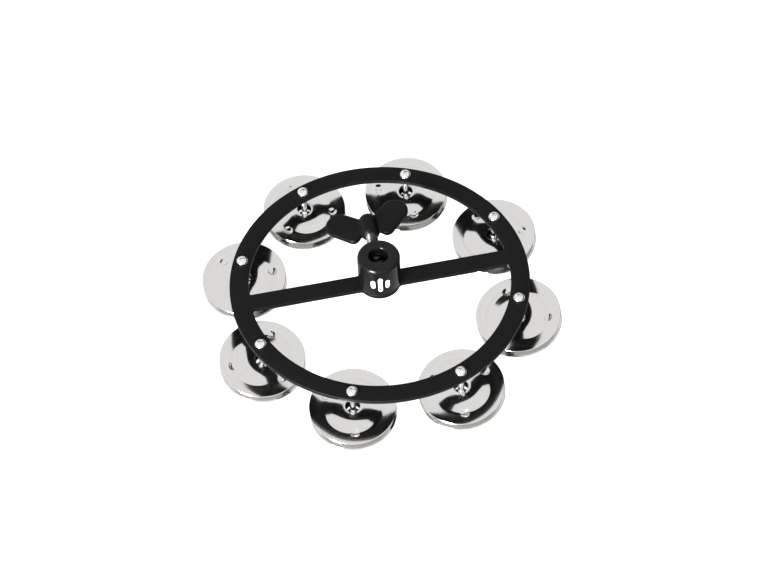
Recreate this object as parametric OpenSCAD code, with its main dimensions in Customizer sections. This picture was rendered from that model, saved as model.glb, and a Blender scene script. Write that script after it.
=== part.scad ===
/* [Ring plate] */
// Outside diameter of the flat steel ring
ring_od = 127; // [120:1:140]
// Width of the ring's band
band_w = 8; // [7:0.5:10]
// Width of the crossbar
bar_w = 8; // [6:0.5:10]
// Thickness of the ring, the crossbar and the eye, cut from one plate
plate_t = 2; // [1.5:0.1:3]
// Inside corner radius where the crossbar meets the ring
corner_r = 1.2; // [0.5:0.1:3]
// Inside corner radius where the crossbar meets the eye
eye_corner_r = 2; // [0.5:0.1:3]

/* [Clamp hub] */
// Diameter of the hub and of the eye that it stands on
hub_d = 18; // [16:0.5:22]
// Height of the hub above the plate
hub_h = 16; // [14:0.5:20]
// Radius of the hub's rounded top edge
hub_round = 1.6; // [0.5:0.1:2]
// Bore for the hi-hat rod
bore_d = 8; // [7:0.1:8.5]
// Radius of the bore's rounded mouth
mouth_round = 0.8; // [0.3:0.1:1]
// Diameter of the spigot that is pressed into the eye
spigot_d = 12; // [11:0.5:14]

/* [Wing screw] */
// Thread diameter of the wing screw
screw_d = 5; // [4:0.5:6]
// Height of the wing screw's axis above the plate
screw_up = 10; // [8:0.5:11]
// Distance across both wings
wing_span = 36; // [30:1:40]
// Thickness of a wing
wing_t = 2.6; // [2:0.1:3.5]
// Angle at which the wings stand, right wing up
wing_turn = 8; // [0:1:30]

/* [Jingles] */
// Diameter of a jingle
jingle_d = 36; // [32:0.5:38]
// Thickness of the jingle's sheet
sheet_t = 0.5; // [0.4:0.1:0.5]
// Diameter of the hole at the jingle's centre
hole_d = 6; // [5.5:0.1:6.4]
// Diameter of the valley between the jingle's domed centre and its flange
valley_d = 24; // [22:0.5:26]
// Height of the domed centre above the valley
dome_rise = 1.1; // [0.8:0.1:1.1]
// Rise of the flange from the valley to its rim
flange_rise = 1; // [0.6:0.1:1]
// Diameter of each of the three dimples in the valley
dimple_d = 3.6; // [3:0.1:4]
// Depth of a dimple
dimple_depth = 0.5; // [0.3:0.1:0.5]

/* [Jingle pins] */
// Diameter of a pin
pin_d = 2.5; // [2:0.1:3]
// Length of a pin below the top of the plate
pin_len = 18.5; // [18.5:0.1:22]
// Diameter of a pin's pan head
head_d = 5; // [4.5:0.1:5.6]
// Height of a pin's pan head
head_h = 2; // [1.6:0.1:2.4]
// Distance across the flats of a lock nut
nut_af = 5; // [4.5:0.1:5.4]
// Outside diameter of a washer
washer_d = 7; // [6.6:0.1:8]

/* [Hidden] */
$fn = 96;
eps = 0.01;

PAIRS = 8;

// heights above the surface that the pins' ends stand on
plate_top = pin_len;
plate_low = plate_top - plate_t;
hub_top = plate_top + hub_h;
screw_z = plate_top + screw_up;

// plan radii of the ring
ring_r = ring_od / 2;
window_r = ring_r - band_w;
pin_circle_r = ring_r - band_w / 2;
spigot_fit = 0.01;
pin_fit = 0.05;

// how each pair hangs on its pin: its lean to the front and to the left and how far it has turned
// about the pin, in degrees, and where the upper jingle's hole has come to, off the pin's axis to
// the right and to the back and above its lowest place
PAIR_FRONT = [5.1, 6.2, 7.5, 7.3, 9.3, 5.3, 4.9, 7];
PAIR_LEFT = [6, 3.8, -1.3, 2.4, -1, 0.5, 4.6, 7];
PAIR_SPIN = [114, 34, 106, 4, 63, 23, 24, 99];
PAIR_RIGHT = [-0.1, 0, 0, -0.2, 0.1, 0, 0.2, -0.1];
PAIR_BACK = [-0.1, 0, 0.6, -0.4, 1.2, 0.5, 1.2, 0.2];
PAIR_LIFT = [0.7, 0.9, 0.2, 1.2, 0.3, 1.2, 0.1, 0.4];
LOWER_SPIN = 60;
lower_front = 0.9;
pair_hole_z = 6.7;

// jingle: shares of the valley's radius and of the dome's rise, and shares of the way from the
// valley to the rim and of the flange's rise
jingle_r = jingle_d / 2;
valley_r = valley_d / 2;
hole_r = hole_d / 2;
HOLE_SHARE = 0.8;
DOME = [[0.34, 0.96], [0.5, 1], [0.65, 0.81], [0.78, 0.5], [0.9, 0.19], [1, 0]];
FLANGE = [[0.2, 0.09], [0.45, 0.39], [1, 1]];
hole_up = HOLE_SHARE * dome_rise + sheet_t;
rim_ease = 0.15;
dimple_at = valley_r + 0.4;
dimple_ball = (pow(dimple_d / 2, 2) + pow(dimple_depth, 2)) / (2 * dimple_depth);
DIMPLES = 3;
pair_gap = dimple_depth + 0.3;

// pins, washers and nuts
head_side = 0.5;
head_ball = (pow(head_d / 2, 2) + pow(head_h - head_side, 2)) / (2 * (head_h - head_side));
recess_w = 0.6;
recess_span = 2.7;
recess_depth = 1;
pin_tip = 0.4;
washer_t = 0.4;
washer_top = 2.4;
nut_h = 1.8;
nut_hex_h = 1.3;
nut_collar_r = 2.25;

// wing screw
screw_r = screw_d / 2;
screw_fit = 0.05;
screw_tip_y = 4.25;
screw_tip_ease = 0.5;
boss_d = 8;
boss_front = 15.5;
boss_back = 27.5;
boss_blind = 24.5;
boss_neck_d = 6.4;
boss_neck_l = 1.5;
wing_near = [7.4, 17.4, 3];
wing_lobe = [wing_span / 2 - 5.9, 25.6, 5.9];
wing_root = [2.5, 22.3, 2.5];

// A fillet between a straight edge at y = edge and a circle about the origin, on the side
// away from the origin for outside = 1, and inside the circle for outside = -1
module corner_fillet(circle_r, edge, r, outside) {
    cx = sqrt(pow(circle_r + outside * r, 2) - pow(edge + r, 2));
    cy = edge + r;
    inset = 0.4;
    touch = (circle_r - outside * inset) / (circle_r + outside * r);
    corner_x = sqrt(circle_r * circle_r - edge * edge);
    difference() {
        polygon([
            [cx, edge - inset],
            [cx, cy],
            [cx * touch, cy * touch],
            [corner_x - outside * inset, edge - inset]
        ]);
        translate([cx, cy]) circle(r + eps / 2);
    }
}

// the open half of the ring behind the crossbar, with rounded corners
module window() {
    difference() {
        intersection() {
            circle(window_r);
            translate([-window_r, bar_w / 2]) square([2 * window_r, window_r]);
        }
        circle(hub_d / 2);
        for (side = [0, 1])
            mirror([side, 0]) {
                corner_fillet(window_r, bar_w / 2, corner_r, -1);
                corner_fillet(hub_d / 2, bar_w / 2, eye_corner_r, 1);
            }
    }
}

module plate_outline() {
    difference() {
        circle(ring_r);
        window();
        mirror([0, 1]) window();
    }
}

// angle of a pin on its circle, counted from the crossbar
function pin_angle(i) = 360 / PAIRS * (i - 0.5);

module at_pin(i) {
    rotate(pin_angle(i)) translate([pin_circle_r, 0]) rotate(-pin_angle(i)) children();
}

// the flat ring with its crossbar and eye
module ring_plate() {
    color([0.06, 0.06, 0.065])
    difference() {
        translate([0, 0, plate_low]) linear_extrude(plate_t) plate_outline();
        translate([0, 0, plate_low - 1]) cylinder(r = spigot_d / 2 + spigot_fit, h = plate_t + 2);
        for (i = [1:PAIRS])
            at_pin(i) translate([0, 0, plate_low - 1]) cylinder(r = pin_d / 2 + pin_fit, h = plate_t + 2);
    }
}

// an arc's points about a centre, from one angle to another
function arc(centre, r, from, to, steps) =
    [for (k = [0:steps]) let (a = from + (to - from) * k / steps) centre + r * [cos(a), sin(a)]];

// the clamp hub, one turning with a spigot below and a rod bore through it
module clamp_hub() {
    hub_r = hub_d / 2;
    bore_r = bore_d / 2;
    color([0.07, 0.07, 0.075])
    difference() {
        rotate_extrude() polygon(concat(
            [[bore_r, plate_low], [spigot_d / 2, plate_low], [spigot_d / 2, plate_top], [hub_r, plate_top]],
            arc([hub_r - hub_round, hub_top - hub_round], hub_round, 0, 90, 6),
            arc([bore_r + mouth_round, hub_top - mouth_round], mouth_round, 90, 180, 4)
        ));
        translate([0, bore_r - 1, screw_z]) rotate([-90, 0, 0])
            cylinder(r = screw_r + screw_fit, h = hub_r);
    }
}

// the threaded stud of the wing screw, along +Y
module wing_screw_stud() {
    color([0.1, 0.1, 0.1])
    translate([0, screw_tip_y, screw_z]) rotate([-90, 0, 0]) rotate_extrude() polygon([
        [0, 0],
        [screw_r - screw_tip_ease, 0],
        [screw_r, screw_tip_ease],
        [screw_r, boss_blind - screw_tip_y],
        [0, boss_blind - screw_tip_y]
    ]);
}

module wing_disc(at) {
    translate([at[0], at[1], -wing_t / 2]) cylinder(r = at[2], h = wing_t, $fn = 32);
}

// one flat paddle-shaped wing, on the side of +X
module wing() {
    hull() {
        wing_disc(wing_root);
        wing_disc(wing_near);
        wing_disc(wing_lobe);
    }
}

// the moulded head: boss with a domed back, and two wings
module wing_screw_head() {
    boss_r = boss_d / 2;
    color([0.06, 0.06, 0.065])
    translate([0, 0, screw_z]) rotate([0, -wing_turn, 0])
    difference() {
        union() {
            rotate([-90, 0, 0]) rotate_extrude() polygon(concat(
                [[0, boss_front], [boss_neck_d / 2, boss_front], [boss_r, boss_front + boss_neck_l]],
                arc([0, boss_back - boss_r], boss_r, 0, 90, 8)
            ));
            wing();
            mirror([1, 0, 0]) wing();
        }
        translate([0, boss_front - 1, 0]) rotate([-90, 0, 0])
            cylinder(r = screw_r + screw_fit, h = boss_blind + 0.2 - boss_front + 1);
    }
}

// one jingle pin: a screw with a domed head and a cross recess
module jingle_pin(i) {
    color([0.78, 0.78, 0.76])
    at_pin(i) difference() {
        union() {
            rotate_extrude() polygon([
                [0, 0],
                [pin_d / 2 - pin_tip, 0],
                [pin_d / 2, pin_tip],
                [pin_d / 2, plate_top + head_side],
                [0, plate_top + head_side]
            ]);
            translate([0, 0, plate_top]) intersection() {
                cylinder(d = head_d, h = head_h);
                translate([0, 0, head_h - head_ball]) sphere(r = head_ball);
            }
        }
        for (turn = [0, 90])
            translate([0, 0, plate_top + head_h]) rotate(turn + pin_angle(i) * 1.7)
                cube([recess_span, recess_w, 2 * recess_depth], center = true);
    }
}

module pin_washer(i) {
    color([0.05, 0.05, 0.05])
    at_pin(i) translate([0, 0, washer_top - washer_t]) difference() {
        cylinder(d = washer_d, h = washer_t);
        translate([0, 0, -1]) cylinder(r = pin_d / 2 + pin_fit, h = washer_t + 2);
    }
}

// a hexagon nut with a round locking collar at its lower end
module lock_nut(i) {
    nut_low = washer_top - washer_t - nut_h;
    color([0.7, 0.7, 0.68])
    at_pin(i) difference() {
        union() {
            translate([0, 0, nut_low + nut_h - nut_hex_h])
                cylinder(d = nut_af / cos(30), h = nut_hex_h, $fn = 6);
            translate([0, 0, nut_low]) cylinder(r = nut_collar_r, h = nut_h - nut_hex_h + eps);
        }
        translate([0, 0, nut_low - 1]) cylinder(r = pin_d / 2 + pin_fit, h = nut_h + 2);
    }
}

// one jingle, domed side up, with the underside of its valley at z = 0
module jingle() {
    face = concat(
        [[hole_r, HOLE_SHARE * dome_rise]],
        [for (p = DOME) [p[0] * valley_r, p[1] * dome_rise]],
        [for (p = FLANGE) [valley_r + p[0] * (jingle_r - valley_r), p[1] * flange_rise]]
    );
    last = len(face) - 1;
    rim_z = flange_rise + sheet_t;
    top = concat(
        [for (k = [0:last - 1]) face[k] + [0, sheet_t]],
        [[jingle_r - rim_ease, rim_z], [jingle_r, rim_z - rim_ease]]
    );
    under = [for (k = [last:-1:0]) face[k]];
    ball_z = sheet_t - dimple_depth + dimple_ball;
    difference() {
        union() {
            rotate_extrude() polygon(concat(top, under));
            for (k = [0:DIMPLES - 1]) rotate(360 / DIMPLES * k)
                intersection() {
                    translate([dimple_at, 0, ball_z]) sphere(r = dimple_ball + sheet_t);
                    translate([dimple_at, 0, sheet_t * 0.8 - 3]) cylinder(r = dimple_d, h = 3);
                }
        }
        for (k = [0:DIMPLES - 1]) rotate(360 / DIMPLES * k)
            translate([dimple_at, 0, ball_z]) sphere(r = dimple_ball);
    }
}

// puts shapes whose origin is a jingle's hole where pair i hangs, drawn forward by some distance
module hang(i, forward) {
    at_pin(i)
        translate([PAIR_RIGHT[i - 1], PAIR_BACK[i - 1] - forward, pair_hole_z + PAIR_LIFT[i - 1]])
        rotate([PAIR_FRONT[i - 1], -PAIR_LEFT[i - 1], 0]) rotate(PAIR_SPIN[i - 1]) children();
}

module upper_jingle(i) {
    color([0.82, 0.82, 0.8])
    hang(i, 0) translate([0, 0, -hole_up]) jingle();
}

// the same jingle turned over, below the upper one
module lower_jingle(i) {
    color([0.8, 0.8, 0.78])
    hang(i, lower_front) translate([0, 0, -hole_up - pair_gap]) rotate(LOWER_SPIN)
        mirror([0, 0, 1]) jingle();
}

ring_plate();
clamp_hub();
wing_screw_stud();
wing_screw_head();
for (i = [1:PAIRS]) {
    jingle_pin(i);
    pin_washer(i);
    lock_nut(i);
    lower_jingle(i);
    upper_jingle(i);
}
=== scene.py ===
import math

import bmesh
import bpy
from bpy.props import FloatProperty, FloatVectorProperty, IntProperty, PointerProperty
from mathutils import Matrix, Vector


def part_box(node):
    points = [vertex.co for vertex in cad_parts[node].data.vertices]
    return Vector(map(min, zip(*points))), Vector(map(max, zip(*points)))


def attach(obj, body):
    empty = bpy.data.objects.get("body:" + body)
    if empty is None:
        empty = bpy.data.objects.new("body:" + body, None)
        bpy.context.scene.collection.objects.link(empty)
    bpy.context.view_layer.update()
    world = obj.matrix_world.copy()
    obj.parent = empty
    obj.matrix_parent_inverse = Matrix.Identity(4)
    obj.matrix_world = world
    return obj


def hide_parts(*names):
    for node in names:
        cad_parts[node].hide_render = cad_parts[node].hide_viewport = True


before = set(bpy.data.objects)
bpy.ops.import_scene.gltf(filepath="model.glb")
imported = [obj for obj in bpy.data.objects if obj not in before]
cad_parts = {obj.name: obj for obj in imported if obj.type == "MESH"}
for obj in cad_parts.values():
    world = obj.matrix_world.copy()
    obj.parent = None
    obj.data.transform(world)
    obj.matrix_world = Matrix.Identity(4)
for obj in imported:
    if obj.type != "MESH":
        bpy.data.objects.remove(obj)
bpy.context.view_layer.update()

bl_info = {
    "name": "Hi-hat tambourine",
    "version": (1, 0, 0),
    "blender": (4, 5, 0),
    "location": "View3D > Sidebar > Tambourine",
    "description": "Ring plate, clamp hub, wing screw and eight pairs of jingles",
    "category": "Object",
}

MM = 0.001
TURN = 2 * math.pi
SHARP = math.radians(32)
BODY = "frame"

# sizes that the frame gives
PLATE_LOW, PLATE_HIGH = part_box("ring_plate")
HUB_LOW, HUB_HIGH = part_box("clamp_hub")
STUD_LOW, STUD_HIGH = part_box("wing_screw_stud")
PIN_LOW, PIN_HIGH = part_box("jingle_pin_1")
WASHER_LOW, WASHER_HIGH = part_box("pin_washer_1")
NUT_LOW, NUT_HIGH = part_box("lock_nut_1")
PAIRS = sum(name.startswith("upper_jingle_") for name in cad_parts)
PIN_AT = (PIN_LOW + PIN_HIGH) / 2
PIN_CIRCLE = math.hypot(PIN_AT.x, PIN_AT.y)
FIRST_PIN = math.atan2(PIN_AT.y, PIN_AT.x)
SCREW_Z = (STUD_LOW.z + STUD_HIGH.z) / 2

# how each pair hangs on its pin, as its solids do: its lean to the front and to the left and how
# far it has turned about the pin, in degrees, and where the upper jingle's hole has come to, off
# the pin's axis to the right and to the back and above its lowest place, in millimetres
PAIR_FRONT = (5.1, 6.2, 7.5, 7.3, 9.3, 5.3, 4.9, 7)
PAIR_LEFT = (6, 3.8, -1.3, 2.4, -1, 0.5, 4.6, 7)
PAIR_SPIN = (114, 34, 106, 4, 63, 23, 24, 99)
PAIR_RIGHT = (-0.1, 0, 0, -0.2, 0.1, 0, 0.2, -0.1)
PAIR_BACK = (-0.1, 0, 0.6, -0.4, 1.2, 0.5, 1.2, 0.2)
PAIR_LIFT = (0.7, 0.9, 0.2, 1.2, 0.3, 1.2, 0.1, 0.4)
LOWER_SPIN = 60
LOWER_FRONT = 0.9 * MM
PAIR_HOLE_Z = 6.7 * MM
PAIR_GAP = 0.8 * MM

# the three discs that a wing's outline is drawn round, as its solid's: distance from the screw's
# axis, distance from the rod's axis and radius, in millimetres
WING_ROOT = (2.5, 22.3, 2.5)
WING_NEAR = (7.4, 17.4, 3)
WING_LOBE = (12.1, 25.6, 5.9)

# clearance round a thread, and how far before its face a cutter starts
THREAD_FIT = 0.05 * MM
CUT_EARLY = 1 * MM

# how much further each recess, washer and nut is turned than the one before it
RECESS_TURN = math.radians(76.5)
WASHER_TURN = 0.4
NUT_TURN = 0.7

# distance of the dimples outside the valley, and the stretch of the turned pattern on the jingles
DIMPLE_OUT = 0.4 * MM
TURNING = (1.6, 1.6, 5200.0)

# the colour sockets of a mix node
MIX_A, MIX_B, MIX_RESULT = 6, 7, 2

# where the camera and the key light stand, what they look at and how far the floor reaches
CAMERA_PLACE = Vector((-0.1034, -0.6140, 0.7920))
CAMERA_AIM = Vector((0.0002, -0.0023, 0.0201))
KEY_PLACE = Vector((-0.68, -0.74, 0.36))
KEY_AIM = Vector((0, 0, 0.02))
KEY_SIZE = (0.32, 0.62)
FLOOR_REACH = 4.0


def millimetres(label, default, description, low=0.0):
    return FloatProperty(
        name=label, description=description, default=default * MM,
        min=low * MM, precision=5, subtype="DISTANCE", unit="LENGTH",
    )


def tint(label, default, description):
    return FloatVectorProperty(
        name=label, description=description, default=default,
        size=3, min=0.0, max=1.0, subtype="COLOR",
    )


def slope(label, default, description):
    return FloatProperty(
        name=label, description=description, default=math.radians(default), min=0.0,
        subtype="ANGLE", unit="ROTATION",
    )


class PlateSettings(bpy.types.PropertyGroup):
    band: millimetres("Band width", 8, "Width of the ring's band")
    bar: millimetres("Bar width", 8, "Width of the crossbar")
    corner: millimetres("Corner radius", 1.2, "Inside corners where the crossbar meets the ring")
    eye_corner: millimetres("Eye corner radius", 2, "Inside corners where the crossbar meets the eye")
    edge: millimetres("Edge rounding", 0.3, "Rounding of the coated edges")
    spigot: millimetres("Spigot hole", 12.02, "Diameter of the hole that the hub's spigot is pressed into")
    pin_hole: millimetres("Pin hole", 2.6, "Diameter of the hole for a jingle pin")
    coat: tint("Coat", (0.0022, 0.0019, 0.0023), "Black coat of the plate")


class HubSettings(bpy.types.PropertyGroup):
    bore: millimetres("Rod bore", 8, "Diameter of the bore for the stand's pull rod")
    top_round: millimetres("Top rounding", 1.6, "Radius of the rounded top edge")
    mouth: millimetres("Mouth rounding", 0.8, "Radius of the rounded bore mouth")
    spigot: millimetres("Spigot", 12, "Diameter of the spigot below")
    coat: tint("Coat", (0.0026, 0.0025, 0.0027), "Black coat of the hub")
    mark_size: millimetres("Mark height", 8.4, "Height of the printed mark's tallest bar")
    mark_bar: millimetres("Mark bar", 1.8, "Width of a bar of the printed mark")
    mark_step: millimetres("Mark step", 3.1, "Distance between the mark's bars")
    mark_short: FloatProperty(
        name="Outer bars", description="Height of the outer bars, as a share of the middle one",
        default=0.55, min=0.1, max=1.0,
    )
    mark_up: millimetres("Mark centre", 7.2, "Height of the mark's centre above the plate")
    mark_turn: FloatProperty(
        name="Mark turn", description="Direction in which the mark faces, counted from +X",
        default=math.radians(-98), subtype="ANGLE", unit="ROTATION",
    )
    mark: tint("Print", (0.86, 0.86, 0.84), "White print on the hub's front")


class WingSettings(bpy.types.PropertyGroup):
    thread: millimetres("Thread diameter", 5, "Diameter over the thread")
    pitch: millimetres("Pitch", 0.8, "Advance of the wing screw in one turn", low=0.3)
    thread_depth: millimetres("Thread depth", 0.42, "Depth of the thread")
    tip: millimetres("Stud tip", 0.5, "Length of the stud's tapered tip")
    boss: millimetres("Boss diameter", 8, "Diameter of the boss that the wings stand on")
    boss_front: millimetres("Boss front", 15.5, "Distance of the boss's front from the rod's axis")
    boss_back: millimetres("Boss back", 27.5, "Distance of the boss's domed back from the rod's axis")
    neck: millimetres("Neck diameter", 6.4, "Diameter of the boss at its front")
    neck_length: millimetres("Neck length", 1.5, "Length of the taper from the neck to the boss")
    thickness: millimetres("Wing thickness", 2.6, "Thickness of a wing")
    edge: millimetres("Wing edge rounding", 0.9, "Rounding of the wings' edges")
    turn: FloatProperty(
        name="Wing turn", description="Angle at which the wings stand, right wing up",
        default=math.radians(8), subtype="ANGLE", unit="ROTATION",
    )
    coat: tint("Coat", (0.0022, 0.0021, 0.0024), "Black coat of the wing screw's head")


class PinSettings(bpy.types.PropertyGroup):
    diameter: millimetres("Pin diameter", 2.5, "Diameter of a jingle pin")
    head: millimetres("Head diameter", 5, "Diameter of the pan head")
    head_height: millimetres("Head height", 2, "Height of the pan head")
    head_side: millimetres("Head side", 0.5, "Height of the pan head's upright side")
    recess: millimetres("Recess width", 0.6, "Width of a slot of the cross recess")
    recess_span: millimetres("Recess span", 2.7, "Length of a slot of the cross recess")
    recess_depth: millimetres("Recess depth", 1, "Depth of the cross recess")
    threaded: millimetres("Threaded length", 7, "Length of the thread at the pin's lower end")
    thread_depth: millimetres("Thread depth", 0.24, "Depth of the thread")
    tip: millimetres("Pin tip", 0.4, "Length of the pin's tapered tip")
    pitch: millimetres("Thread pitch", 0.45, "Pitch of the thread at the pin's lower end", low=0.2)
    steel: tint("Steel", (0.83, 0.83, 0.82), "Plated steel of the pins")
    zinc: tint("Zinc", (0.66, 0.67, 0.69), "Zinc plate of the lock nuts")
    # the washers' near-black is painted shade: it stands in for the shade that falls inside the jingles'
    # holes
    nylon: tint("Nylon", (0.006, 0.006, 0.006), "Black nylon of the washers")
    nut_hex: millimetres("Nut height", 1.3, "Height of a lock nut's hexagon")
    nut_collar: millimetres("Nut collar", 4.5, "Diameter of a lock nut's collar")


class JingleSettings(bpy.types.PropertyGroup):
    diameter: millimetres("Jingle diameter", 36, "Outside diameter of a jingle")
    sheet: millimetres("Sheet", 0.5, "Thickness of the sheet")
    hole: millimetres("Hole", 6, "Diameter of the hole at the centre")
    valley: millimetres("Valley diameter", 24, "Diameter of the valley between the centre and the flange")
    dome_slope: slope("Dome slope", 15, "Steepest slope of the domed centre")
    flange_slope: slope("Flange slope", 11.2, "Steepest slope of the flange, which rises to the rim")
    dimples: IntProperty(name="Dimples", description="Dimples in the valley", default=3, min=0, max=12)
    dimple: millimetres("Dimple diameter", 3.6, "Diameter of a dimple")
    dimple_depth: millimetres("Dimple depth", 0.5, "Depth of a dimple")
    steel: tint("Steel", (0.7, 0.69, 0.675), "Polished steel of the jingles")


class StudioSettings(bpy.types.PropertyGroup):
    floor: tint("Floor", (0.42, 0.42, 0.42), "Colour of the plain floor")
    floor_light: FloatProperty(name="Floor light", description="How brightly the floor shows to the camera",
                               default=1.0, min=0.0)
    lens: FloatProperty(name="Lens", description="Focal length of the camera, in millimetres",
                        default=111.06, min=1.0)
    roll: FloatProperty(name="Camera roll", description="Turn of the camera about its line of sight",
                        default=math.radians(-2.573), subtype="ANGLE", unit="ROTATION")
    key_power: FloatProperty(name="Key power", description="Power of the key light, in watts",
                             default=70.0, min=0.0)
    sky: tint("Surround", (1.0, 1.0, 1.0), "Colour of the studio's walls")
    dark_side: tint("Dark side", (0.03, 0.03, 0.03), "Colour of the dark flag low on the right")
    sky_light: FloatProperty(name="Surround light", description="Brightness of the studio's walls",
                             default=1.0, min=0.0)


class TambourineSettings(bpy.types.PropertyGroup):
    plate: PointerProperty(type=PlateSettings, name="Ring plate", description="Sizes of the ring plate")
    hub: PointerProperty(type=HubSettings, name="Clamp hub", description="Sizes of the clamp hub")
    wing: PointerProperty(type=WingSettings, name="Wing screw", description="Sizes of the wing screw")
    pins: PointerProperty(type=PinSettings, name="Jingle pins", description="Sizes of the pins")
    jingles: PointerProperty(type=JingleSettings, name="Jingles", description="Sizes of the jingles")
    studio: PointerProperty(type=StudioSettings, name="Studio", description="Floor and light")


# ---- mesh helpers -------------------------------------------------------------------------


def new_piece(name, bm, material, sharp=SHARP, smooth=True):
    """Puts a bmesh into a new object at the origin, shaded sharp across edges sharper than the angle."""
    mesh = bpy.data.meshes.new(name)
    bm.to_mesh(mesh)
    bm.free()
    for face in mesh.polygons:
        face.use_smooth = smooth
    mesh.set_sharp_from_angle(angle=sharp)
    mesh.materials.append(material)
    piece = bpy.data.objects.new(name, mesh)
    bpy.context.scene.collection.objects.link(piece)
    return piece


def settle(piece):
    """Turns a piece's modifiers into a plain mesh and removes them."""
    bpy.context.view_layer.update()
    mesh = bpy.data.meshes.new_from_object(
        piece.evaluated_get(bpy.context.evaluated_depsgraph_get()))
    piece.modifiers.clear()
    old, piece.data = piece.data, mesh
    mesh.name = piece.name
    bpy.data.meshes.remove(old)
    mesh.set_sharp_from_angle(angle=SHARP)
    return piece


def hand_over(piece, body, slot, *nodes):
    """Lets a finished piece ride on its body in place of its CAD nodes."""
    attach(piece, body)
    if nodes:
        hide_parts(*nodes)


def arc(cx, cy, radius, start, end, steps):
    """Points on an arc, both ends included, with angles in degrees."""
    angles = [math.radians(start + (end - start) * k / steps) for k in range(steps + 1)]
    return [(cx + radius * math.cos(a), cy + radius * math.sin(a)) for a in angles]


def lathe(bm, profile, segments, closed=True):
    """Turns a profile of (radius, height) about +Z.

    A closed profile makes a ring, and an open one starts and ends on the axis.
    """
    rings = []
    for radius, height in profile:
        if radius < 1e-9:
            rings.append([bm.verts.new((0, 0, height))])
        else:
            rings.append([
                bm.verts.new((radius * math.cos(TURN * k / segments),
                              radius * math.sin(TURN * k / segments), height))
                for k in range(segments)])
    pairs = list(zip(rings, rings[1:]))
    if closed:
        pairs.append((rings[-1], rings[0]))
    for lower, upper in pairs:
        for k in range(segments):
            n = (k + 1) % segments
            corners = [lower[k % len(lower)], lower[n % len(lower)],
                       upper[n % len(upper)], upper[k % len(upper)]]
            corners = list(dict.fromkeys(corners))
            if len(corners) > 2:
                bm.faces.new(corners)
    bmesh.ops.recalc_face_normals(bm, faces=bm.faces)


def rounded_plate(bm, loops_at, low, high, edge, steps=3):
    """A plate with rounded edges. loops_at(inset) gives its outline's loops drawn inwards by inset."""
    profile = [(edge * (1 - math.sin(a)), low + edge * (1 - math.cos(a)))
               for a in [math.pi / 2 * k / steps for k in range(steps + 1)]]
    profile += [(inset, high + low - z) for inset, z in reversed(profile)]
    layers = [[[bm.verts.new((x, y, z)) for x, y in loop] for loop in loops_at(inset)]
              for inset, z in profile]
    for lower, upper in zip(layers, layers[1:]):
        for a, b in zip(lower, upper):
            for k in range(len(a)):
                n = (k + 1) % len(a)
                bm.faces.new((a[k], a[n], b[n], b[k]))
    for layer in (layers[0], layers[-1]):
        edges = [bm.edges.get((loop[k - 1], loop[k])) for loop in layer for k in range(len(loop))]
        bmesh.ops.triangle_fill(bm, edges=edges, use_beauty=True)
    bmesh.ops.recalc_face_normals(bm, faces=bm.faces)


def threaded_bar(bm, radius, length, pitch, depth, segments, tip=0.0, rows_a_turn=8, z0=0.0):
    """A bar along +Z from z0 with a helical thread, tapered over a length of tip at its start."""
    rows = max(2, round(length / pitch * rows_a_turn))
    rings = []
    for j in range(rows + 1):
        z = length * j / rows
        ring = []
        for k in range(segments):
            a = TURN * k / segments
            wave = abs(((z / pitch - k / segments) % 1.0) * 2 - 1)
            r = radius - depth * min(1.0, max(0.0, wave * 1.5 - 0.25))
            if tip and z < tip:
                r = min(r, radius - tip + z)
            ring.append(bm.verts.new((r * math.cos(a), r * math.sin(a), z0 + z)))
        rings.append(ring)
    for lower, upper in zip(rings, rings[1:]):
        for k in range(segments):
            n = (k + 1) % segments
            bm.faces.new((lower[k], lower[n], upper[n], upper[k]))
    for ring, z in ((rings[0], z0), (rings[-1], z0 + length)):
        hub = bm.verts.new((0, 0, z))
        for k in range(segments):
            bm.faces.new((hub, ring[k], ring[(k + 1) % segments]))
    bmesh.ops.recalc_face_normals(bm, faces=bm.faces)


def carve(piece, cutter, many_shells=False):
    """Cuts a piece with another mesh, which is then removed. Either may be made of many shells."""
    cut = piece.modifiers.new("carve", "BOOLEAN")
    cut.operation = "DIFFERENCE"
    cut.solver = "EXACT"
    cut.use_self = many_shells
    cut.object = cutter
    settle(piece)
    data = cutter.data
    bpy.data.objects.remove(cutter)
    bpy.data.meshes.remove(data)
    return piece


# ---- materials ----------------------------------------------------------------------------


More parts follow.
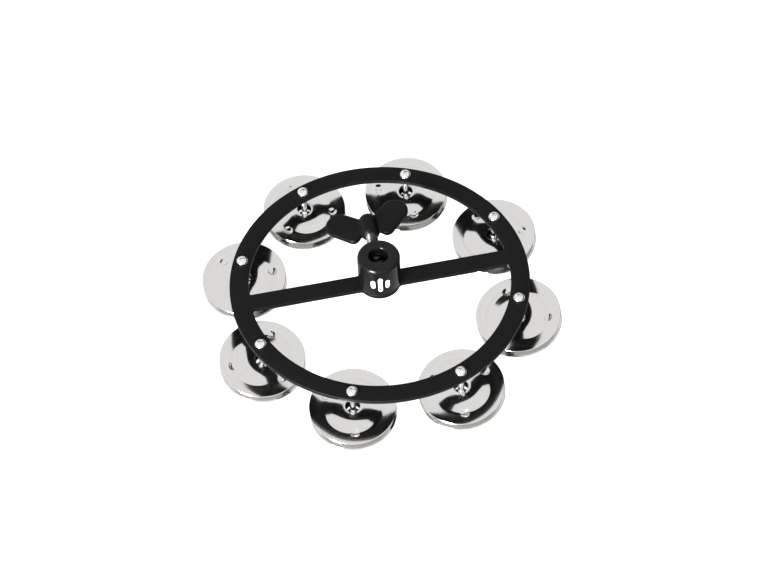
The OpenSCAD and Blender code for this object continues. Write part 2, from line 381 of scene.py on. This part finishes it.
def surface(name, colour, mottle, rough, relief, metallic=0.0, specular=0.5, grain=1800.0,
            blotch=70.0, turned=None):
    """A finish whose colour, roughness and relief vary over the piece.

    colour is the mean colour and mottle its share of change, rough its lowest and highest roughness,
    relief the depth of its grain, and grain and blotch the fine and the broad noise's scale. A turned
    piece gives turned instead, the pattern's stretch along its "turning" attribute.
    """
    material = bpy.data.materials.new(name)
    material.use_nodes = True
    tree = material.node_tree
    shader = tree.nodes["Principled BSDF"]
    shader.inputs["Metallic"].default_value = metallic
    shader.inputs["Specular IOR Level"].default_value = specular

    def node(kind, **values):
        made = tree.nodes.new(kind)
        for key, value in values.items():
            if key in made.inputs:
                made.inputs[key].default_value = value
            else:
                setattr(made, key, value)
        return made

    if turned:
        place = node("ShaderNodeAttribute", attribute_name="turning")
        stretch = node("ShaderNodeVectorMath", operation="MULTIPLY")
        stretch.inputs[1].default_value = turned
        tree.links.new(place.outputs["Vector"], stretch.inputs[0])
        where = stretch.outputs["Vector"]
        grain, blotch = 1.0, 0.11
    else:
        where = node("ShaderNodeTexCoord").outputs["Object"]
    fine = node("ShaderNodeTexNoise", Scale=grain, Detail=3.0, Roughness=0.6)
    broad = node("ShaderNodeTexNoise", Scale=blotch, Detail=4.0, Roughness=0.55)
    for texture in (fine, broad):
        tree.links.new(where, texture.inputs["Vector"])
    shade = node("ShaderNodeMix", data_type="RGBA")
    for socket, value in ((MIX_A, 1 - mottle), (MIX_B, 1 + mottle)):
        shade.inputs[socket].default_value = (*[min(1.0, c * value) for c in colour], 1)
    tree.links.new(broad.outputs["Fac"], shade.inputs[0])
    tree.links.new(shade.outputs[MIX_RESULT], shader.inputs["Base Color"])
    level = node("ShaderNodeMapRange")
    level.inputs["From Min"].default_value = 0.3
    level.inputs["From Max"].default_value = 0.7
    level.inputs["To Min"].default_value = rough[0]
    level.inputs["To Max"].default_value = rough[1]
    blend = node("ShaderNodeMath", operation="MULTIPLY_ADD")
    blend.inputs[1].default_value = 0.5
    half = node("ShaderNodeMath", operation="MULTIPLY")
    half.inputs[1].default_value = 0.5
    tree.links.new(broad.outputs["Fac"], half.inputs[0])
    tree.links.new(fine.outputs["Fac"], blend.inputs[0])
    tree.links.new(half.outputs[0], blend.inputs[2])
    tree.links.new(blend.outputs[0], level.inputs["Value"])
    tree.links.new(level.outputs[0], shader.inputs["Roughness"])
    bump = node("ShaderNodeBump", Strength=1.0, Distance=relief)
    tree.links.new(fine.outputs["Fac"], bump.inputs["Height"])
    tree.links.new(bump.outputs["Normal"], shader.inputs["Normal"])
    return material


# ---- geometry node trees ------------------------------------------------------------------


class NodeTree:
    """A geometry node tree under construction, with named inputs."""

    def __init__(self, name, **inputs):
        self.tree = bpy.data.node_groups.new(name, "GeometryNodeTree")
        self.tree.interface.new_socket("Geometry", in_out="INPUT", socket_type="NodeSocketGeometry")
        self.names = {}
        for label, kind in inputs.items():
            item = self.tree.interface.new_socket(label, in_out="INPUT", socket_type=kind)
            self.names[label] = item.identifier
        self.tree.interface.new_socket("Geometry", in_out="OUTPUT", socket_type="NodeSocketGeometry")
        self.start = self.tree.nodes.new("NodeGroupInput")
        self.end = self.tree.nodes.new("NodeGroupOutput")

    def add(self, kind, wires=None, **settings):
        made = self.tree.nodes.new(kind)
        for key, value in settings.items():
            setattr(made, key, value)
        for key, value in (wires or {}).items():
            self.feed(made.inputs[key], value)
        return made

    def feed(self, socket, value):
        if isinstance(value, bpy.types.NodeSocket):
            self.tree.links.new(value, socket)
        else:
            socket.default_value = value

    def math(self, operation, *values):
        made = self.add("ShaderNodeMath", operation=operation)
        for socket, value in zip(made.inputs, values):
            self.feed(socket, value)
        return made.outputs[0]

    def input(self, label):
        return self.start.outputs[label]

    def close(self, geometry, material):
        real = self.add("GeometryNodeRealizeInstances", {"Geometry": geometry})
        painted = self.add("GeometryNodeSetMaterial", {"Geometry": real.outputs[0], "Material": material})
        self.tree.links.new(painted.outputs[0], self.end.inputs[0])
        return self

    def apply(self, piece, **values):
        modifier = piece.modifiers.new(self.tree.name, "NODES")
        modifier.node_group = self.tree
        for label, value in values.items():
            modifier[self.names[label]] = value
        return settle(piece)


def pin_circle_tree(material):
    """Sets a piece at every pin, turned a little further at each."""
    t = NodeTree("pin_circle", Count="NodeSocketInt", Radius="NodeSocketFloat",
                 First="NodeSocketFloat", Turn="NodeSocketFloat")
    circle = t.add("GeometryNodeMeshCircle", {"Vertices": t.input("Count"), "Radius": t.input("Radius")})
    start = t.add("ShaderNodeCombineXYZ", {"Z": t.input("First")})
    placed = t.add("GeometryNodeTransform", {"Geometry": circle.outputs[0], "Rotation": start.outputs[0]})
    index = t.add("GeometryNodeInputIndex").outputs[0]
    turned = t.add("ShaderNodeCombineXYZ", {
        "Z": t.math("MULTIPLY", t.math("ADD", index, 0.5), t.input("Turn"))})
    set_down = t.add("GeometryNodeInstanceOnPoints", {
        "Points": placed.outputs[0], "Instance": t.start.outputs["Geometry"],
        "Rotation": turned.outputs[0]})
    return t.close(set_down.outputs[0], material)


def dimple_tree(material):
    """Presses a ring of round dimples into a jingle."""
    t = NodeTree("pressed_dimples", Count="NodeSocketFloat", Place="NodeSocketFloat",
                 Radius="NodeSocketFloat", Depth="NodeSocketFloat")
    point = t.add("ShaderNodeSeparateXYZ", {0: t.add("GeometryNodeInputPosition").outputs[0]})
    x, y = point.outputs["X"], point.outputs["Y"]
    r = t.math("SQRT", t.math("ADD", t.math("MULTIPLY", x, x), t.math("MULTIPLY", y, y)))
    share = t.math("DIVIDE", TURN, t.input("Count"))
    half = t.math("MULTIPLY", share, 0.5)
    turned = t.math("ADD", t.math("ARCTAN2", y, x), half)
    folded = t.math("SUBTRACT", t.math("FLOORED_MODULO", turned, share), half)
    across = t.math("SUBTRACT", t.math("MULTIPLY", r, t.math("COSINE", folded)), t.input("Place"))
    aside = t.math("MULTIPLY", r, t.math("SINE", folded))
    squares = t.math("ADD", t.math("MULTIPLY", across, across), t.math("MULTIPLY", aside, aside))
    far = t.math("DIVIDE", squares, t.math("MULTIPLY", t.input("Radius"), t.input("Radius")))
    dent = t.math("MAXIMUM", t.math("SUBTRACT", 1.0, t.math("POWER", far, 1.5)), 0.0)
    drop = t.math("MULTIPLY", t.math("MULTIPLY", t.input("Depth"), dent), -1.0)
    lift = t.add("ShaderNodeCombineXYZ", {"Z": drop})
    pressed = t.add("GeometryNodeSetPosition", {"Geometry": t.start.outputs["Geometry"],
                                                "Offset": lift.outputs[0]})
    return t.close(pressed.outputs[0], material)


# ---- ring plate ---------------------------------------------------------------------------


def plate_loops(s, inset):
    """Outline of the ring, its two windows and its holes, drawn inwards by inset."""
    ring = PLATE_HIGH.x - inset
    window = PLATE_HIGH.x - s.band + inset
    edge = s.bar / 2 - inset
    eye = HUB_HIGH.x - inset
    corner, eye_corner = s.corner + inset, s.eye_corner - inset
    deg = math.degrees
    cx = math.sqrt((window - corner) ** 2 - (edge + corner) ** 2)
    qx = math.sqrt((eye + eye_corner) ** 2 - (edge + eye_corner) ** 2)
    wide = deg(math.atan2(edge + corner, cx))
    near = deg(math.atan2(edge + eye_corner, qx))
    half = arc(cx, edge + corner, corner, -90, wide, 8)
    half += arc(0, 0, window, wide, 180 - wide, 160)[1:-1]
    half += arc(-cx, edge + corner, corner, 180 - wide, 270, 8)
    half += arc(-qx, edge + eye_corner, eye_corner, 270, 360 - near, 8)
    half += arc(0, 0, eye, 180 - near, near, 40)[1:-1]
    half += arc(qx, edge + eye_corner, eye_corner, 180 + near, 270, 8)
    holes = [arc(0, 0, s.spigot / 2 + inset, 0, 360, 96)[:-1]]
    for k in range(PAIRS):
        a = FIRST_PIN + TURN * k / PAIRS
        holes.append(arc(PIN_CIRCLE * math.cos(a), PIN_CIRCLE * math.sin(a),
                         s.pin_hole / 2 + inset, 0, 360, 32)[:-1])
    return [arc(0, 0, ring, 0, 360, 288)[:-1], half, [(-x, -y) for x, y in half]] + holes


class TAMBOURINE_OT_ring_plate(bpy.types.Operator):
    """Makes the flat ring with its crossbar and eye"""
    bl_idname = "tambourine.ring_plate"
    bl_label = "Ring plate"

    def execute(self, context):
        s = context.scene.tambourine.plate
        coat = surface("satin_black_coat", s.coat, 0.12, (0.4, 0.5), 0.000012, specular=0.09, grain=1500)
        bm = bmesh.new()
        rounded_plate(bm, lambda inset: plate_loops(s, inset), PLATE_LOW.z, PLATE_HIGH.z, s.edge)
        piece = new_piece("ring_plate_coated", bm, coat)
        hand_over(piece, BODY, "black_coat", "ring_plate")
        return {"FINISHED"}


# ---- clamp hub ----------------------------------------------------------------------------


class TAMBOURINE_OT_clamp_hub(bpy.types.Operator):
    """Makes the turned hub with its bore, cross hole and printed mark"""
    bl_idname = "tambourine.clamp_hub"
    bl_label = "Clamp hub"

    def execute(self, context):
        s = context.scene.tambourine.hub
        w = context.scene.tambourine.wing
        coat = surface("gloss_black_coat", s.coat, 0.15, (0.15, 0.23), 0.000002, specular=0.19, grain=900)
        hub, top, low, seat = HUB_HIGH.x, HUB_HIGH.z, HUB_LOW.z, PLATE_HIGH.z
        ease = 0.15 * MM
        bore, spigot = s.bore / 2, s.spigot / 2
        profile = [(bore + ease, low), (spigot - ease, low), (spigot, low + ease), (spigot, seat),
                   (hub - ease, seat), (hub, seat + ease)]
        profile += arc(hub - s.top_round, top - s.top_round, s.top_round, 0, 90, 14)
        profile += arc(bore + s.mouth, top - s.mouth, s.mouth, 90, 180, 10)
        profile += [(bore, low + ease)]
        bm = bmesh.new()
        lathe(bm, profile, 160)
        piece = new_piece("clamp_hub_turned", bm, coat)
        bm = bmesh.new()
        hole = w.thread / 2 + THREAD_FIT
        lathe(bm, [(0, 0), (hole, 0), (hole, hub), (0, hub)], 64, closed=False)
        bmesh.ops.transform(bm, verts=bm.verts, matrix=Matrix.Translation(
            (0, bore - CUT_EARLY, SCREW_Z)) @ Matrix.Rotation(-math.pi / 2, 4, "X"))
        cutter = new_piece("cutter", bm, coat)
        hand_over(carve(piece, cutter), BODY, "black_hub", "clamp_hub")

        ink = surface("white_print", s.mark, 0.05, (0.45, 0.6), 0.000004, specular=0.4, grain=2500)
        bm = bmesh.new()
        middle, centre = s.mark_turn, seat + s.mark_up
        bar, step, proud = s.mark_bar, s.mark_step, 0.03 * MM
        for place, share in ((-1, s.mark_short), (0, 1.0), (1, s.mark_short)):
            tall = s.mark_size * share / 2 - bar / 2
            outline = arc(0, tall, bar / 2, 0, 180, 10) + arc(0, -tall, bar / 2, 180, 360, 10)
            rings = []
            for radius in (hub - proud, hub + proud):
                rings.append([bm.verts.new((
                    radius * math.cos(middle + (place * step + x) / hub),
                    radius * math.sin(middle + (place * step + x) / hub), centre + z))
                    for x, z in outline])
            bm.faces.new(rings[0])
            bm.faces.new(rings[1])
            for k in range(len(outline)):
                bm.faces.new((rings[0][k - 1], rings[0][k], rings[1][k], rings[1][k - 1]))
        bmesh.ops.recalc_face_normals(bm, faces=bm.faces)
        hand_over(new_piece("hub_printed_bars", bm, ink), BODY, "white_print")
        return {"FINISHED"}


# ---- wing screw ---------------------------------------------------------------------------


def wing_loop(discs, inset, count=128):
    """The outline round three discs, drawn inwards by inset."""
    loop = []
    for k in range(count):
        ux, uy = math.cos(TURN * k / count), math.sin(TURN * k / count)
        x, y, r = max(discs, key=lambda d: d[0] * ux + d[1] * uy + d[2])
        loop.append((x + (r - inset) * ux, y + (r - inset) * uy))
    return loop


class TAMBOURINE_OT_wing_screw(bpy.types.Operator):
    """Makes the threaded stud and the moulded head with its two wings"""
    bl_idname = "tambourine.wing_screw"
    bl_label = "Wing screw"

    def execute(self, context):
        s = context.scene.tambourine.wing
        along_y = Matrix.Translation((0, 0, SCREW_Z)) @ Matrix.Rotation(-math.pi / 2, 4, "X")
        thread = surface("black_thread", (0.02, 0.02, 0.02), 0.2, (0.22, 0.34), 0.000004,
                         specular=0.5, grain=2500)
        bm = bmesh.new()
        threaded_bar(bm, s.thread / 2, STUD_HIGH.y - STUD_LOW.y, s.pitch, s.thread_depth, 56,
                     tip=s.tip, z0=STUD_LOW.y)
        bmesh.ops.transform(bm, verts=bm.verts, matrix=along_y)
        stud = new_piece("wing_screw_thread", bm, thread, sharp=math.radians(60))
        hand_over(stud, "screw_stud", "black_thread", "wing_screw_stud")

        coat = surface("moulded_black", s.coat, 0.14, (0.28, 0.38), 0.000008, specular=0.09, grain=1400)
        boss, front, back = s.boss / 2, s.boss_front, s.boss_back
        neck, ease = s.neck / 2, 0.2 * MM
        profile = [(0, front), (neck - ease, front), (neck, front + ease), (boss, front + s.neck_length)]
        profile += arc(0, back - boss, boss, 0, 90, 16)
        profile[-1] = (0, back)
        bm = bmesh.new()
        lathe(bm, profile, 96, closed=False)
        bmesh.ops.transform(bm, verts=bm.verts, matrix=Matrix.Rotation(-math.pi / 2, 4, "X"))
        for side in (1, -1):
            discs = [(side * x * MM, y * MM, r * MM) for x, y, r in (WING_ROOT, WING_NEAR, WING_LOBE)]
            rounded_plate(bm, lambda inset: [wing_loop(discs, inset)],
                          -s.thickness / 2, s.thickness / 2, s.edge, steps=5)
        bmesh.ops.transform(bm, verts=bm.verts, matrix=Matrix.Translation((0, 0, SCREW_Z))
                            @ Matrix.Rotation(-s.turn, 4, "Y"))
        head = new_piece("wing_screw_moulded_head", bm, coat)
        blend = head.modifiers.new("cast", "REMESH")
        blend.mode = "VOXEL"
        blend.voxel_size = 0.25 * MM
        blend.use_smooth_shade = True
        soften = head.modifiers.new("soften", "SMOOTH")
        soften.factor = 0.5
        soften.iterations = 6
        settle(head)
        bm = bmesh.new()
        hole = s.thread / 2 + THREAD_FIT
        blind = STUD_HIGH.y + 0.2 * MM
        start = front - CUT_EARLY
        lathe(bm, [(0, start), (hole, start), (hole, blind), (0, blind)], 64, closed=False)
        bmesh.ops.transform(bm, verts=bm.verts, matrix=along_y)
        cutter = new_piece("cutter", bm, coat)
        hand_over(carve(head, cutter), "wing_head", "black_wing", "wing_screw_head")
        return {"FINISHED"}


# ---- pins, washers and nuts ---------------------------------------------------------------


class TAMBOURINE_OT_jingle_pins(bpy.types.Operator):
    """Makes the eight pins with their washers and lock nuts"""
    bl_idname = "tambourine.jingle_pins"
    bl_label = "Jingle pins"

    def execute(self, context):
        s = context.scene.tambourine.pins
        steel = surface("plated_steel", s.steel, 0.06, (0.1, 0.18), 0.000003, metallic=1.0, grain=3000)
        zinc = surface("zinc_plate", s.zinc, 0.1, (0.22, 0.36), 0.000004, metallic=1.0,
                       grain=2600, blotch=300)
        # the washers' material is painted shade, a near-black standing in for the shade inside the jingles'
        # holes
        nylon = surface("black_nylon", s.nylon, 0.15, (0.45, 0.6), 0.000006, specular=0.3, grain=2200)
        around = {"Count": PAIRS, "Radius": PIN_CIRCLE, "First": FIRST_PIN}
        nodes = [[f"{kind}_{k + 1}" for k in range(PAIRS)]
                 for kind in ("jingle_pin", "pin_washer", "lock_nut")]

        radius, seat, top = s.diameter / 2, PLATE_HIGH.z, PIN_HIGH.z
        thread_top = s.threaded
        bm = bmesh.new()
        threaded_bar(bm, radius, thread_top, s.pitch, s.thread_depth, 32, tip=s.tip, z0=PIN_LOW.z)
        lathe(bm, [(0, thread_top - 0.3 * MM), (radius - 0.25 * MM, thread_top - 0.3 * MM),
                   (radius, thread_top), (radius, seat + 0.4 * MM), (0, seat + 0.4 * MM)],
              48, closed=False)
        head, side = s.head / 2, s.head_side
        crown = s.head_height - side
        ball = (head * head + crown * crown) / (2 * crown)
        dome = [(ball * math.sin(a), seat + s.head_height - ball + ball * math.cos(a))
                for a in [math.asin(head * 0.97 / ball) * k / 12 for k in range(12, -1, -1)]]
        dome[-1] = (0, seat + s.head_height)
        lathe(bm, [(0, seat), (head - 0.08 * MM, seat), (head, seat + 0.08 * MM),
                   (head, seat + side - 0.1 * MM)] + dome, 64, closed=False)
        pin = new_piece("jingle_pins_plated", bm, steel)
        bm = bmesh.new()
        for turn in (0, 1):
            wide, half = s.recess / 2, s.recess_span / 2
            box = bmesh.ops.create_cube(bm, size=1.0)["verts"]
            for v in box:
                narrow = 1.0 if v.co.z > 0 else 0.62
                v.co = Vector((v.co.x * 2 * half * narrow, v.co.y * 2 * wide * narrow,
                               top + (0.3 * MM if v.co.z > 0 else -s.recess_depth)))
            bmesh.ops.rotate(bm, verts=box, cent=(0, 0, 0),
                             matrix=Matrix.Rotation(turn * math.pi / 2, 3, "Z"))
        cross = new_piece("cutter", bm, steel, smooth=False)
        carve(pin, cross, many_shells=True)
        pin_circle_tree(steel).apply(pin, **around, Turn=RECESS_TURN)
        hand_over(pin, BODY, "pin_steel", *nodes[0])

        bm = bmesh.new()
        low, high, out = WASHER_LOW.z, WASHER_HIGH.z, (WASHER_HIGH.x - WASHER_LOW.x) / 2
        inner, ease = radius + THREAD_FIT, 0.1 * MM
        lathe(bm, [(inner + ease, low), (out - ease, low), (out, low + ease), (out, high - ease),
                   (out - ease, high), (inner + ease, high), (inner, high - ease), (inner, low + ease)], 64)
        # washers in the painted shade colour
        washer = new_piece("pin_washers_painted_shade", bm, nylon)
        pin_circle_tree(nylon).apply(washer, **around, Turn=WASHER_TURN)
        hand_over(washer, BODY, "black_nylon", *nodes[1])

        bm = bmesh.new()
        flat = (NUT_HIGH.y - NUT_LOW.y) / 2
        hexes, low, high = 72, NUT_LOW.z, NUT_HIGH.z
        collar, collar_top, chamfer = s.nut_collar / 2, high - s.nut_hex, 0.25 * MM
        reach = flat / math.cos(math.pi / 6)
        rows = [(inner, low + ease), (inner + ease, low), (collar - ease, low), (collar, low + ease),
                (collar, collar_top - 0.02 * MM), (collar + 0.05 * MM, collar_top),
                (reach, collar_top + chamfer), (reach, high - chamfer), (flat * 0.97, high),
                (inner + ease, high), (inner, high - ease)]
        rings = []
        for r, z in rows:
            ring = []
            for k in range(hexes):
                a = TURN * k / hexes
                hexagon = flat / math.cos((a + math.pi / 6) % (math.pi / 3) - math.pi / 6)
                here = min(r, hexagon)
                ring.append(bm.verts.new((here * math.cos(a + math.pi / 6),
                                          here * math.sin(a + math.pi / 6), z)))
            rings.append(ring)
        for lower, upper in zip(rings, rings[1:] + rings[:1]):
            for k in range(hexes):
                n = (k + 1) % hexes
                bm.faces.new((lower[k], lower[n], upper[n], upper[k]))
        bmesh.ops.recalc_face_normals(bm, faces=bm.faces)
        nut = new_piece("lock_nuts_zinc", bm, zinc, sharp=math.radians(25))
        pin_circle_tree(zinc).apply(nut, **around, Turn=NUT_TURN)
        hand_over(nut, BODY, "zinc_steel", *nodes[2])
        return {"FINISHED"}


# ---- jingles ------------------------------------------------------------------------------


def face_heights(s, radii):
    """Heights of the jingle's domed face at these radii, above its valley.

    knots gives the slope at some radii, with the steepest slopes of the dome and the flange as units.
    """
    hole, valley, rim = s.hole / 2, s.valley / 2, s.diameter / 2
    dome, flange = -s.dome_slope, s.flange_slope
    knots = [(hole, -0.9 * dome), (valley * 0.375, -0.15 * dome), (valley * 0.5, 0.1 * dome),
             (valley * 0.625, 0.63 * dome), (valley * 0.75, dome), (valley * 0.967, 0.77 * dome),
             (valley * 1.033, 0.27 * flange), (valley * 1.083, 0.9 * flange), (valley * 1.25, flange),
             (rim, 0.8 * flange)]

    def steepness(r):
        for (r0, s0), (r1, s1) in zip(knots, knots[1:]):
            if r <= r1:
                return math.tan(s0 + (s1 - s0) * max(0.0, r - r0) / (r1 - r0))
        return math.tan(knots[-1][1])

    heights, r, z, fine = [], hole, 0.0, 0.02 * MM
    for target in radii:
        while r < target - 1e-9:
            step = min(fine, target - r)
            z += step * steepness(r + step / 2)
            r += step
        heights.append(z)
    return [h - min(heights) for h in heights]


def jingle_blank(bm, s, segments=264, rings=60):
    """A jingle without its dimples, the upper edge of its hole at z = 0, with its turning attribute.

    Returns the height of that edge above the underside of the valley.
    """
    inner, outer, thick = s.hole / 2, s.diameter / 2, s.sheet
    ease = 0.12 * MM
    radii = [inner] + [inner + ease + (outer - inner - 2 * ease) * k / rings
                       for k in range(rings + 1)] + [outer]
    heights = face_heights(s, radii)
    up = heights[0] + thick
    drops = [ease] + [0.0] * (rings + 1) + [ease]
    top = [(r, h + thick - d - up) for r, h, d in zip(radii, heights, drops)]
    under = [(r, h + d - up) for r, h, d in zip(radii, heights, drops)]
    lathe(bm, top + under[::-1], segments)
    turning = bm.verts.layers.float_vector.new("turning")
    for v in bm.verts:
        r = math.hypot(v.co.x, v.co.y)
        v[turning] = (v.co.x / r, v.co.y / r, r)
    return up


class TAMBOURINE_OT_jingles(bpy.types.Operator):
    """Makes the eight pairs of pressed steel jingles"""
    bl_idname = "tambourine.jingles"
    bl_label = "Jingles"

    def execute(self, context):
        s = context.scene.tambourine.jingles
        steel = surface("polished_jingle_steel", s.steel, 0.08, (0.07, 0.16), 0.0000015, metallic=1.0,
                        turned=TURNING)
        bm = bmesh.new()
        up = jingle_blank(bm, s)
        blank = new_piece("jingle_blank", bm, steel, sharp=math.radians(50))
        dimple_tree(steel).apply(blank, Count=float(s.dimples), Place=s.valley / 2 + DIMPLE_OUT,
                                 Radius=s.dimple / 2, Depth=s.dimple_depth)
        for k in range(PAIRS):
            a = FIRST_PIN + TURN * k / PAIRS
            hole = Vector((PIN_CIRCLE * math.cos(a) + PAIR_RIGHT[k] * MM,
                           PIN_CIRCLE * math.sin(a) + PAIR_BACK[k] * MM,
                           PAIR_HOLE_Z + PAIR_LIFT[k] * MM))
            lean = (Matrix.Rotation(math.radians(-PAIR_LEFT[k]), 4, "Y")
                    @ Matrix.Rotation(math.radians(PAIR_FRONT[k]), 4, "X")
                    @ Matrix.Rotation(math.radians(PAIR_SPIN[k]), 4, "Z"))
            turned_over = (Matrix.Translation((0, 0, -2 * up - PAIR_GAP))
                           @ Matrix.Rotation(math.radians(LOWER_SPIN), 4, "Z")
                           @ Matrix.Scale(-1, 4, (0, 0, 1)))
            forward = Vector((0, LOWER_FRONT, 0))
            for name, place in (
                    ("upper", Matrix.Translation(hole) @ lean),
                    ("lower", Matrix.Translation(hole - forward) @ lean @ turned_over)):
                mesh = blank.data.copy()
                mesh.transform(place)
                if name == "lower":
                    mesh.flip_normals()
                piece = bpy.data.objects.new(f"{name}_jingle_{k + 1}_pressed", mesh)
                mesh.name = piece.name
                context.scene.collection.objects.link(piece)
                hand_over(piece, f"{name}_jingle_{k + 1}", "jingle_steel", f"{name}_jingle_{k + 1}")
        data = blank.data
        bpy.data.objects.remove(blank)
        bpy.data.meshes.remove(data)
        return {"FINISHED"}


# ---- studio -------------------------------------------------------------------------------


class TAMBOURINE_OT_studio(bpy.types.Operator):
    """Sets up the plain floor, the soft light and the camera"""
    bl_idname = "tambourine.studio"
    bl_label = "Studio"

    def execute(self, context):
        s = context.scene.tambourine.studio
        scene = context.scene
        bm = bmesh.new()
        bmesh.ops.create_grid(bm, x_segments=24, y_segments=24, size=FLOOR_REACH)
        paper = surface("pale_floor", s.floor, 0.01, (0.7, 0.8), 0.0, specular=0.2, grain=40, blotch=3)
        shader = paper.node_tree.nodes["Principled BSDF"]
        shader.inputs["Emission Color"].default_value = (1, 1, 1, 1)
        glow = paper.node_tree.nodes.new("ShaderNodeMath")
        glow.operation = "MULTIPLY"
        glow.inputs[1].default_value = s.floor_light
        ray = paper.node_tree.nodes.new("ShaderNodeLightPath")
        paper.node_tree.links.new(ray.outputs["Is Camera Ray"], glow.inputs[0])
        paper.node_tree.links.new(glow.outputs[0], shader.inputs["Emission Strength"])
        floor = new_piece("studio_floor", bm, paper)

        world = bpy.data.worlds.new("studio_surround")
        scene.world = world
        world.use_nodes = True
        back = world.node_tree.nodes["Background"]
        back.inputs["Strength"].default_value = s.sky_light
        add, link = world.node_tree.nodes.new, world.node_tree.links.new
        way = add("ShaderNodeSeparateXYZ")
        link(add("ShaderNodeTexCoord").outputs["Generated"], way.inputs[0])
        # the dark flag fills the directions with a large X and a small Z, and the camera does not see it
        masks = []
        for axis, start, stop in (("X", 0.42, 0.62), ("Z", 0.46, 0.30)):
            mask = add("ShaderNodeMapRange")
            mask.interpolation_type = "SMOOTHSTEP"
            mask.inputs["From Min"].default_value = start
            mask.inputs["From Max"].default_value = stop
            link(way.outputs[axis], mask.inputs["Value"])
            masks.append(mask.outputs[0])
        side = add("ShaderNodeMath")
        side.operation = "MULTIPLY"
        for socket, mask in zip(side.inputs, masks):
            link(mask, socket)
        seen = add("ShaderNodeMath")
        seen.operation = "SUBTRACT"
        seen.use_clamp = True
        link(side.outputs[0], seen.inputs[0])
        link(add("ShaderNodeLightPath").outputs["Is Camera Ray"], seen.inputs[1])
        walls = add("ShaderNodeMix")
        walls.data_type = "RGBA"
        walls.inputs[MIX_A].default_value = (*s.sky, 1)
        walls.inputs[MIX_B].default_value = (*s.dark_side, 1)
        link(seen.outputs[0], walls.inputs[0])
        link(walls.outputs[MIX_RESULT], back.inputs["Color"])

        lamp = bpy.data.lights.new("key_softbox", "AREA")
        lamp.energy = s.key_power
        lamp.shape = "RECTANGLE"
        lamp.size, lamp.size_y = KEY_SIZE
        stand = bpy.data.objects.new("key_softbox", lamp)
        scene.collection.objects.link(stand)
        stand.location = KEY_PLACE
        stand.rotation_euler = (KEY_AIM - KEY_PLACE).to_track_quat("-Z", "Y").to_euler()

        camera = bpy.data.cameras.new("catalogue_camera")
        camera.sensor_width = 36
        camera.lens = s.lens
        camera.clip_start = 0.01
        holder = bpy.data.objects.new("catalogue_camera", camera)
        scene.collection.objects.link(holder)
        look = (CAMERA_AIM - CAMERA_PLACE).to_track_quat("-Z", "Y").to_matrix().to_4x4()
        holder.matrix_world = Matrix.Translation(CAMERA_PLACE) @ look @ Matrix.Rotation(s.roll, 4, "Z")
        scene.camera = holder
        scene.view_settings.view_transform = "Standard"
        return {"FINISHED"}


# ---- panel and registration ---------------------------------------------------------------

OPERATORS = (TAMBOURINE_OT_studio, TAMBOURINE_OT_ring_plate, TAMBOURINE_OT_clamp_hub,
             TAMBOURINE_OT_wing_screw, TAMBOURINE_OT_jingle_pins, TAMBOURINE_OT_jingles)


class TAMBOURINE_PT_sidebar(bpy.types.Panel):
    """Lists the pieces and their sizes"""
    bl_idname = "TAMBOURINE_PT_sidebar"
    bl_label = "Tambourine"
    bl_space_type = "VIEW_3D"
    bl_region_type = "UI"
    bl_category = "Tambourine"

    def draw(self, context):
        for operator in OPERATORS:
            self.layout.operator(operator.bl_idname)
        settings = context.scene.tambourine
        for group in settings.bl_rna.properties:
            if group.type == "POINTER" and group.identifier != "rna_type":
                box = self.layout.box()
                box.label(text=group.name)
                part = getattr(settings, group.identifier)
                for item in part.bl_rna.properties:
                    if item.identifier not in ("rna_type", "name"):
                        box.prop(part, item.identifier)


CLASSES = (PlateSettings, HubSettings, WingSettings, PinSettings, JingleSettings, StudioSettings,
           TambourineSettings, *OPERATORS, TAMBOURINE_PT_sidebar)


def register():
    for cls in CLASSES:
        bpy.utils.register_class(cls)
    bpy.types.Scene.tambourine = PointerProperty(
        type=TambourineSettings, name="Tambourine", description="Sizes and colours of the tambourine")


def unregister():
    del bpy.types.Scene.tambourine
    for cls in reversed(CLASSES):
        bpy.utils.unregister_class(cls)


def main():
    register()
    for operator in OPERATORS:
        group, name = operator.bl_idname.split(".")
        getattr(getattr(bpy.ops, group), name)()


if __name__ == "__main__":
    main()
